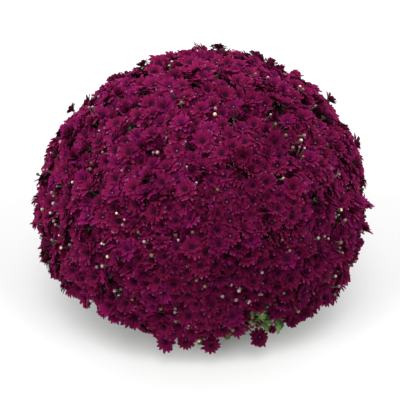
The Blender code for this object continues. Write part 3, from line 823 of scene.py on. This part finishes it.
def gap_ways(count, taken, clearance, apart, rng, above_hem=1.0):
    """Directions of the widest gaps between taken spots, over the clearance, and apart from each other."""
    tries = unit(rng.normal(0, 1, (GAP_TRIES, 3)))
    tries = tries[tries[:, 2] > hem_heights(tries, -above_hem)]
    spots = ball_points(tries)
    rooms = rooms_at(spots, taken)
    chosen = []
    for k in np.argsort(-rooms):
        if len(chosen) == count or rooms[k] < clearance:
            break
        if not chosen or np.linalg.norm(spots[chosen] - spots[k], axis=1).min() > apart:
            chosen.append(k)
    return tries[chosen]


def facing_frames(facings, spins):
    """A rotation for each copy that turns +Z to its facing, after its spin round +Z."""
    side = unit(np.cross(np.where(np.abs(facings[:, 2:]) > 0.95, (1.0, 0.0, 0.0), UP), facings))
    up = np.cross(facings, side)
    cosine, sine = np.cos(spins)[:, None], np.sin(spins)[:, None]
    return np.stack([side * cosine + up * sine, -side * sine + up * cosine, facings], axis=2)


def bloom_facings(ways, rng, wobble):
    """Blooms look out of the ball, lean away from the middle of their dome, and turn up towards the light."""
    low = (1 - ways[:, 2:]) / 2
    _, middles = dome_relief(ways)
    lean = ways - middles
    up = UP * (UPTURN[0] + (UPTURN[1] - UPTURN[0]) * low**1.2)
    return unit(ball_normals(ways) + up + lean * 0.9 + rng.normal(0, wobble, ways.shape))


petal_velvet, tree, surface = new_material("velvety_crimson_petal")
# Ray florets: a thin velvety skin that swallows light, so it has almost no shine. The colour is purple near
# the eye, and darker there as painted shade of the cupped hollow round the eye; crimson further out and
# paler on the rim as a painted highlight of sheen. It runs to violet on some petals. The reverse is paler.
# Its darkest stops near the eye are painted shade, and its palest stop on the rim is a painted highlight.
petal_colour_with_painted_light = add_node(
    tree,
    "ShaderNodeValToRGB",
    links={"Fac": "reach"},
    stops=(
        (0.0, "#2c091d"),
        (0.30, "#3f0b22"),
        (0.52, "#540e2b"),
        (0.80, "#5f0e31"),
        (0.94, "#5f0e31"),
        (1.0, "#743d58"),
    ),
)
violet_mix = add_node(
    tree, "ShaderNodeMix", {"data_type": "RGBA"}, {7: srgb("#6a0d52")}, {0: "violet", 6: petal_colour_with_painted_light}
)
# Fine flecks, 0.2 to 0.7 mm apart.
flecks = add_node(tree, "ShaderNodeTexNoise", values={"Scale": 420.0, "Detail": 3.0, "Roughness": 0.6})
fleck_mix = add_node(
    tree,
    "ShaderNodeMix",
    {"data_type": "RGBA", "blend_type": "MULTIPLY"},
    {0: 0.18},
    {6: violet_mix, 7: flecks},
)
# The tone darkens or lightens each petal. Besides its random share, it carries the blooms' painted light and
# shade.
value_map = add_node(
    tree,
    "ShaderNodeMapRange",
    values={"From Min": -2.0, "From Max": 2.0, "To Min": 0.68, "To Max": 1.38},
    links={"Value": "tone"},
)
deep = add_node(tree, "ShaderNodeHueSaturation", links={"Color": fleck_mix, "Value": value_map})
under_share = add_node(tree, "ShaderNodeMath", {"operation": "MULTIPLY"}, {1: 0.4}, {0: "reverse"})
under_mix = add_node(
    tree, "ShaderNodeMix", {"data_type": "RGBA"}, {7: srgb("#603149")}, {0: under_share, 6: deep}
)
petal_bump = add_node(
    tree, "ShaderNodeBump", values={"Strength": 0.3, "Distance": 0.0004}, links={"Height": flecks}
)
add_node(
    tree,
    "ShaderNodeBsdfPrincipled",
    values={"Roughness": 0.75, "IOR": 1.40, "Specular IOR Level": 0.01},
    links={"Base Color": under_mix, "Normal": petal_bump},
    feeds=surface,
)

eye_florets, tree, surface = new_material("purple_disc_florets")
# Disc florets: tight purple tubes, drawn as cells of 0.1 to 0.2 mm, darkening to nearly black between them
# as painted shade, with a pale tuft of stigmas in the middle of some.
cells = add_node(tree, "ShaderNodeTexVoronoi", values={"Scale": 1250.0})
floret_colour_and_shade = add_node(
    tree, "ShaderNodeValToRGB", links={"Fac": cells}, stops=((0.0, "#360f28"), (0.75, "#1c0512"))
)
tuft = add_node(
    tree, "ShaderNodeValToRGB", links={"Fac": "reach"}, stops=((0.03, "#ffffff"), (0.09, "#000000"))
)
tuft_mix = add_node(
    tree, "ShaderNodeMix", {"data_type": "RGBA"}, {7: srgb("#86606c")}, {0: tuft, 6: floret_colour_and_shade}
)
cell_bump = add_node(
    tree, "ShaderNodeBump", {"invert": True}, {"Strength": 0.8, "Distance": 0.0005}, {"Height": cells}
)
add_node(
    tree,
    "ShaderNodeBsdfPrincipled",
    values={"Roughness": 0.7, "IOR": 1.40, "Specular IOR Level": 0.05},
    links={"Base Color": tuft_mix, "Normal": cell_bump},
    feeds=surface,
)

green_skin, tree, surface = new_material("green_bract_and_stalk")
# Bracts, stalks and young stems: a soft green skin with fine grey down, mottled every 1 to 2 mm.
mottle = add_node(tree, "ShaderNodeTexNoise", values={"Scale": 260.0, "Detail": 4.0})
green_colour = add_node(
    tree, "ShaderNodeValToRGB", links={"Fac": mottle}, stops=((0.3, "#2b2a18"), (0.7, "#4e4c2b"))
)
down = add_node(
    tree, "ShaderNodeBump", values={"Strength": 0.3, "Distance": 0.0004}, links={"Height": mottle}
)
add_node(
    tree,
    "ShaderNodeBsdfPrincipled",
    values={"Roughness": 0.6, "IOR": 1.45, "Sheen Weight": 0.15},
    links={"Base Color": green_colour, "Normal": down},
    feeds=surface,
)

bloom_rng = np.random.default_rng(BLOOM_SEED)
old_kinds = [bloom_kind(bloom_rng, cupping) for cupping in KIND_CUPPING]
young_rng = np.random.default_rng(BLOOM_SEED + 1)
bloom_kinds = old_kinds + [bloom_kind(young_rng, cupping, young=True) for cupping in YOUNG_CUPPING]
bloom_ways = spread_out(BLOOM_COUNT, BLOOM_SPACING, bloom_rng)
bloom_depth, _ = dome_relief(bloom_ways)
bloom_insets = bloom_depth * FURROW_DEPTH + bloom_rng.triangular(*BLOOM_INSETS, BLOOM_COUNT)
bloom_spots = ball_points(bloom_ways, bloom_insets)
bloom_faces = bloom_facings(bloom_ways, bloom_rng, BLOOM_WOBBLE)
bloom_sizes = bloom_rng.uniform(0.80, 1.10, BLOOM_COUNT)
bloom_picks = bloom_rng.choice(len(old_kinds), BLOOM_COUNT, p=KIND_SHARES)

# Patches where the blooms' tone shifts: painted shade on the lower front right, and darker or lighter
# elsewhere: angle from the vertical, azimuth, width in degrees and tone.
TONE_AND_SHADE_PATCHES = (
    (98, -60, 30, -1.3),
    (79, -90, 24, -0.9),
    (52, -58, 20, -0.55),
    (118, 100, 30, -0.6),
    (119, -100, 20, 0.9),
    (60, 150, 24, -0.5),
)
# A few half-open blooms stand clear of the top: angle from the vertical, azimuth, distance out, size, kind.
STANDING = (
    (23.5, 74.0, 0.001, 0.90, 6),
    (22.0, 86.0, -0.009, 0.84, 7),
    (54.8, 16.6, 0.004, 0.85, 8),
    (31.7, 139.0, 0.001, 0.74, 8),
    (37.2, 146.0, -0.006, 0.86, 7),
    (52.0, 28.0, 0.001, 0.76, 8),
    (25.0, -60.0, 0.001, 0.80, 7),
    (62.0, 210.0, 0.002, 0.78, 8),
    (57.8, 165.0, 0.004, 0.72, 8),
)
# A few more hang clear of the hem: azimuth, distance from the pot's axis, height, size and kind of each.
HANGING = (
    (-86.0, 0.198, 0.057, 0.92, 0),
    (-96.5, 0.200, 0.066, 0.96, 1),
    (-105.1, 0.200, 0.060, 0.98, 2),
    (-64.9, 0.200, 0.061, 1.02, 1),
    (-50.8, 0.212, 0.084, 0.95, 3),
    (-59.9, 0.204, 0.076, 0.66, 7),
    (-143.1, 0.212, 0.090, 0.62, 8),
    (-5.0, 0.208, 0.082, 0.95, 1),
    (32.0, 0.202, 0.070, 1.00, 0),
    (71.0, 0.208, 0.076, 0.90, 2),
    (103.0, 0.200, 0.066, 1.02, 3),
    (131.0, 0.212, 0.084, 0.70, 8),
    (166.0, 0.208, 0.076, 0.98, 1),
)
LONE_BLOOM = 6
# The tone's spread, and its trend, which is painted light and shade, lighter towards the top: each at the
# middle of the ball, and its change up to the top.
TONE_SPREAD = (0.49, -0.17)
PAINTED_LIGHT_TREND = (-0.05, 0.75)
standing = np.array(STANDING)
standing_ways = directions(standing[:, 0], standing[:, 1])
standing_spots = ball_points(standing_ways, -standing[:, 2])
hanging = np.array(HANGING)
hanging_out = directions(90.0, hanging[:, 0])
hanging_spots = spots_at(hanging)
# The others make room for the rim's leaves and for the small half-open bloom that hangs at the front left.
clear_of = np.vstack([rim_tips, hanging_spots[LONE_BLOOM]])
kept = np.flatnonzero(rooms_at(bloom_spots, clear_of) > RIM_ROOM)
hanging_faces = unit(hanging_out + (0.0, 0.0, 0.25) + bloom_rng.normal(0, 0.12, hanging_out.shape))
# Younger blooms a little deeper fill the widest gaps. They come last.
deep_ways = gap_ways(DEEP_COUNT, bloom_spots, 0.0, DEEP_SPACING, bloom_rng)
deep_insets = bloom_rng.uniform(*DEEP_INSETS, DEEP_COUNT) + dome_relief(deep_ways)[0] * FURROW_DEPTH
deep_spots = ball_points(deep_ways, deep_insets)
deep_faces = bloom_facings(deep_ways, bloom_rng, BLOOM_WOBBLE)
bloom_ways = np.concatenate([bloom_ways[kept], standing_ways, unit(hanging_spots - BALL_MIDDLE), deep_ways])
bloom_spots = np.concatenate([bloom_spots[kept], standing_spots, hanging_spots, deep_spots])
bloom_faces = np.concatenate([bloom_faces[kept], standing_ways, hanging_faces, deep_faces])
deep_sizes = bloom_rng.uniform(0.80, 1.00, DEEP_COUNT)
bloom_sizes = np.concatenate([bloom_sizes[kept], standing[:, 3], hanging[:, 3], deep_sizes])
deep_picks = bloom_rng.integers(len(old_kinds), len(bloom_kinds), DEEP_COUNT)
bloom_picks = np.concatenate([bloom_picks[kept], standing[:, 4], hanging[:, 4], deep_picks]).astype(int)
bloom_count = len(bloom_ways)
# The blooms low down differ more from each other, because old and new ones hang there side by side.
bloom_tone_and_shade = bloom_rng.normal(0, 1, bloom_count) * (TONE_SPREAD[0] + TONE_SPREAD[1] * bloom_ways[:, 2])
# Painted light and shade: the blooms are made lighter towards the top and darker towards the bottom.
bloom_tone_and_shade += PAINTED_LIGHT_TREND[0] + PAINTED_LIGHT_TREND[1] * bloom_ways[:, 2]
# Painted shade darkens the blooms on the lower front right; the other patches darken or lighten them.
for angle, azimuth, width, shade in TONE_AND_SHADE_PATCHES:
    apart = np.degrees(np.arccos(np.clip(bloom_ways @ directions(angle, azimuth), -1, 1)))
    bloom_tone_and_shade += shade * np.exp(-((apart / width) ** 2))
bloom_violets = bloom_rng.uniform(0, 1, bloom_count) ** 3 * 0.25
bloom_turns = facing_frames(bloom_faces, bloom_rng.uniform(0, math.tau, bloom_count))
bloom_homes = np.argmax(bloom_ways @ spray_ways.T, axis=1)

for home, spray in enumerate(spray_names):
    parts = []
    for k in np.flatnonzero(bloom_homes == home):
        points, polygons, kinds, far, back_side, petal_tones, petal_violets = bloom_kinds[bloom_picks[k]]
        points = points @ bloom_turns[k].T * bloom_sizes[k] + bloom_spots[k]
        tones = np.clip(petal_tones + bloom_tone_and_shade[k], -2, 2)
        violets = np.clip(petal_violets + bloom_violets[k], 0, 1)
        parts.append((points, polygons, kinds, far, back_side, tones, violets))
    verts, faces, kinds, *values = joined(parts)
    named = zip(("reach", "reverse", "tone", "violet"), values)
    materials = [petal_velvet, eye_florets, green_skin]
    piece = build_mesh("blooms_" + spray[6:], verts, faces, materials, kinds, named)
    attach(piece, "root")
    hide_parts(spray)

# Flower stalks: thin green stems that gather the blooms of a dome into one side branch below it.
STALK_RADII = (0.0009, 0.0010, 0.0013, 0.0017)
STALK_SIDES = 4
STALK_STRAIGHT = 0.018
CUP_DEPTH = 0.0040


def stalk_paths(tops, facings, ways):
    """Curves from under each flower, first straight down its own axis, then in to its dome's side branch."""
    roots = dome_roots[np.argmax(ways @ dome_ways.T, axis=1)]
    bends = tops - facings * STALK_STRAIGHT
    shares = np.array((0.0, 0.25, 0.6, 1.0))[None, :, None]
    first = tops[:, None] * (1 - shares) + bends[:, None] * shares
    last = bends[:, None] * (1 - shares) + roots[:, None] * shares
    return first * (1 - shares) + last * shares


paths = stalk_paths(bloom_spots - bloom_faces * CUP_DEPTH, bloom_faces, bloom_ways)
stalks = build_mesh("flower_stalks", *tube_rings(paths, STALK_RADII, STALK_SIDES), [green_skin])
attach(stalks, "root")

# Buds: globes of 3 to 6 mm whose packed petal tips show cream, a few flushed pink or still green. Narrow
# green bracts clasp the lower half. They stand on their own stalks in the gaps between the blooms, often in
# pairs.
BUD_COUNT = 290
BUD_RADIUS = 0.0023
BUD_SIDES = 10
BUD_CLEARANCE = 0.0085
BUD_SPACING = 0.014
BUD_INSETS = (-0.008, 0.002)
BUD_WOBBLE = 0.22
FIRST_SHARE = 0.75
PAIR_SPREAD = 0.022
# Buds on the stems at the rim, among its leaves: azimuth, distance from the pot's axis and height of each.
RIM_BUDS = (
    (-71.7, 0.222, 0.102),
    (-75.2, 0.212, 0.092),
    (-68.1, 0.232, 0.117),
    (-59.3, 0.236, 0.117),
    (-71.1, 0.250, 0.158),
    (-62.4, 0.252, 0.154),
    (-71.7, 0.218, 0.093),
    (-74.0, 0.208, 0.081),
)
BUD_SEED = 5

bud_cream, tree, surface = new_material("waxy_cream_bud")
# Unopened petals: smooth and faintly waxy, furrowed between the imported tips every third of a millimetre.
bud_colour = add_node(
    tree,
    "ShaderNodeValToRGB",
    links={"Fac": "tone"},
    stops=(
        (0.0, "#4b4526"),
        (0.25, "#665539"),
        (0.5, "#80596a"),
        (0.7, "#98778a"),
        (0.86, "#b59498"),
        (0.93, "#cbb38c"),
        (1.0, "#d2c294"),
    ),
)
folds = add_node(tree, "ShaderNodeTexVoronoi", values={"Scale": 1500.0})
fold_mix = add_node(
    tree,
    "ShaderNodeMix",
    {"data_type": "RGBA", "blend_type": "MULTIPLY"},
    {0: 0.25},
    {6: bud_colour, 7: folds.outputs["Color"]},
)
foot_mix = add_node(
    tree, "ShaderNodeMix", {"data_type": "RGBA"}, {6: srgb("#7f8a3c")}, {0: "along", 7: fold_mix}
)
fold_bump = add_node(
    tree, "ShaderNodeBump", {"invert": True}, {"Strength": 0.3, "Distance": 0.0003}, {"Height": folds}
)
add_node(
    tree,
    "ShaderNodeBsdfPrincipled",
    values={"Roughness": 0.38, "IOR": 1.42},
    links={"Base Color": foot_mix, "Normal": fold_bump},
    feeds=surface,
)


def bud_parts():
    """One bud standing on +Z at its middle: points, faces, materials and how far up each point is."""
    lean = np.radians((150, 115, 85, 55, 28, 0))
    globe_rings = [(BUD_RADIUS * math.sin(a) if a else 0, BUD_RADIUS * 0.95 * math.cos(a)) for a in lean]
    globe, globe_faces = turned_rings(globe_rings, BUD_SIDES)
    cup_rings = (
        (BUD_RADIUS * 1.02, -0.0002),
        (BUD_RADIUS, -BUD_RADIUS * 0.5),
        (BUD_RADIUS * 0.5, -BUD_RADIUS * 1.15),
        (0, -BUD_RADIUS * 1.3),
    )
    cup, cup_faces = turned_rings(cup_rings, BUD_SIDES)
    cup[:BUD_SIDES:2, 2] += BUD_RADIUS * 0.45
    cup[:BUD_SIDES:2, :2] *= 0.93
    cup_faces = [face[::-1] for face in cup_faces]
    verts, faces = joined([(globe, globe_faces), (cup, cup_faces)])
    kinds = [0] * len(globe_faces) + [1] * len(cup_faces)
    along = np.clip((verts[:, 2] / BUD_RADIUS + 0.45) * 1.1, 0, 1)
    return verts, faces, kinds, along


bud_rng = np.random.default_rng(BUD_SEED)
standing_blooms = bloom_spots[:-DEEP_COUNT]
first_count = int(BUD_COUNT * FIRST_SHARE)
firsts = gap_ways(first_count, standing_blooms, BUD_CLEARANCE, BUD_SPACING, bud_rng, above_hem=4.0)
twins = unit(firsts + bud_rng.normal(0, PAIR_SPREAD, firsts.shape))[: BUD_COUNT - len(firsts)]
bud_ways = np.concatenate([firsts, twins])
bud_insets = bud_rng.uniform(*BUD_INSETS, len(bud_ways)) + dome_relief(bud_ways)[0] * FURROW_DEPTH
rim_spots = spots_at(np.array(RIM_BUDS))
bud_spots = np.concatenate([ball_points(bud_ways, bud_insets), rim_spots])
bud_ways = np.concatenate([bud_ways, unit(rim_spots - BALL_MIDDLE)])
bud_count = len(bud_ways)
bud_faces = bloom_facings(bud_ways, bud_rng, BUD_WOBBLE)
bud_sizes = bud_rng.uniform(0.60, 1.20, bud_count)
bud_turns = facing_frames(bud_faces, bud_rng.uniform(0, math.tau, bud_count))
bud_tones = bud_rng.uniform(0, 1, bud_count)
points, polygons, kinds, near = bud_parts()
copies = [points @ bud_turns[k].T * bud_sizes[k] + bud_spots[k] for k in range(bud_count)]
verts, faces = joined([(copy, polygons) for copy in copies])
named = {"along": np.tile(near, bud_count), "tone": np.repeat(bud_tones, len(points))}
buds = build_mesh("buds", verts, faces, [bud_cream, green_skin], kinds * bud_count, named)
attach(buds, "root")
paths = stalk_paths(bud_spots - bud_faces * BUD_RADIUS, bud_faces, bud_ways)
bud_stalks = build_mesh("bud_stalks", *tube_rings(paths, STALK_RADII, STALK_SIDES), [green_skin])
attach(bud_stalks, "root")
